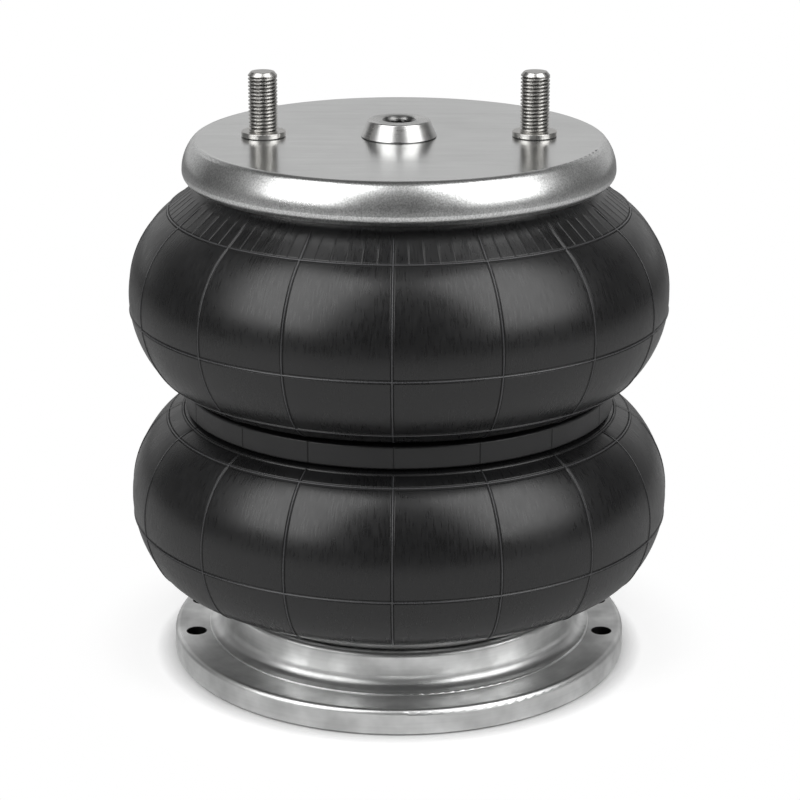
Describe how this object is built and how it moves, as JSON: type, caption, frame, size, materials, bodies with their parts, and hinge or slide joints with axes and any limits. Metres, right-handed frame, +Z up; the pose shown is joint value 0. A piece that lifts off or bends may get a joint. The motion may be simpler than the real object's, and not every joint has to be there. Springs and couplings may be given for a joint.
{
  "type": "air suspension spring",
  "caption": "Double-convoluted rubber air spring with a girdle hoop between a studded upper bead plate and a flanged pedestal, coupled to shorten and extend.",
  "frame": {"origin": "centre of the pedestal's underside, on the spring's axis", "axes": "+Z up along the spring's axis towards the upper plate; X runs through the two studs and between the flange holes; -Y faces the picture's viewer"},
  "size_m": [0.23, 0.23, 0.2525],
  "materials": {
    "cast_aluminium": "machined and blasted, satin",
    "zinc_plated_sheet": "bright zinc plate, satin with a fine grain",
    "zinc_fasteners": "bright zinc plate",
    "cover_rubber": "moulded black rubber, satin",
    "liner_rubber": "smooth black rubber",
    "bead_rubber": "moulded black rubber",
    "bump_rubber": "moulded black rubber",
    "cord_ply": "rubberised cord fabric",
    "bead_wire": "drawn wire"
  },
  "bodies": {
    "base": {"pedestal": "cast_aluminium", "pedestal_screws": "zinc_fasteners", "pedestal_washers": "zinc_fasteners", "lower_bead_plate": "zinc_plated_sheet", "lower_plate_nuts": "zinc_fasteners", "lower_bead": "bead_rubber", "lower_bead_wire": "bead_wire", "bump_nut": "zinc_fasteners", "bump_plate": "zinc_plated_sheet", "bump_stop": "bump_rubber", "bump_washer": "zinc_fasteners", "bump_screw": "zinc_fasteners"},
    "lower_crown": {"lower_cover": "cover_rubber", "lower_outer_ply": "cord_ply", "lower_inner_ply": "cord_ply", "lower_liner": "liner_rubber"},
    "girdle": {"girdle_hoop": "bead_wire", "girdle_band": "cover_rubber"},
    "upper_crown": {"upper_cover": "cover_rubber", "upper_outer_ply": "cord_ply", "upper_inner_ply": "cord_ply", "upper_liner": "liner_rubber"},
    "top": {"upper_bead": "bead_rubber", "upper_bead_wire": "bead_wire", "upper_bead_plate": "zinc_plated_sheet", "inlet_boss": "zinc_fasteners", "mounting_studs": "zinc_fasteners"}
  },
  "joints": [
    {"name": "lower_crown_stroke", "type": "slide", "parent": "base", "child": "lower_crown", "axis": [0, 0, 1], "range_m": [-0.015, 0.00375], "stiffness_N_per_m": 25000, "springref_m": 0.00039, "deforming": ["lower_cover", "lower_outer_ply", "lower_inner_ply", "lower_liner"]},
    {"name": "girdle_stroke", "type": "slide", "parent": "lower_crown", "child": "girdle", "axis": [0, 0, 1], "range_m": [-0.02, 0.005], "stiffness_N_per_m": 25000, "springref_m": 0.00052},
    {"name": "upper_crown_stroke", "type": "slide", "parent": "girdle", "child": "upper_crown", "axis": [0, 0, 1], "range_m": [-0.02, 0.005], "stiffness_N_per_m": 25000, "springref_m": 0.00052, "deforming": ["upper_cover", "upper_outer_ply", "upper_inner_ply", "upper_liner"]},
    {"name": "top_plate_stroke", "type": "slide", "parent": "upper_crown", "child": "top", "axis": [0, 0, 1], "range_m": [-0.025, 0.00625], "stiffness_N_per_m": 25000, "springref_m": 0.00064}
  ],
  "couplings": [
    {"joint": "lower_crown_stroke", "follows": "girdle_stroke", "ratio": 0.75},
    {"joint": "upper_crown_stroke", "follows": "girdle_stroke", "ratio": 1},
    {"joint": "top_plate_stroke", "follows": "girdle_stroke", "ratio": 1.25}
  ]
}
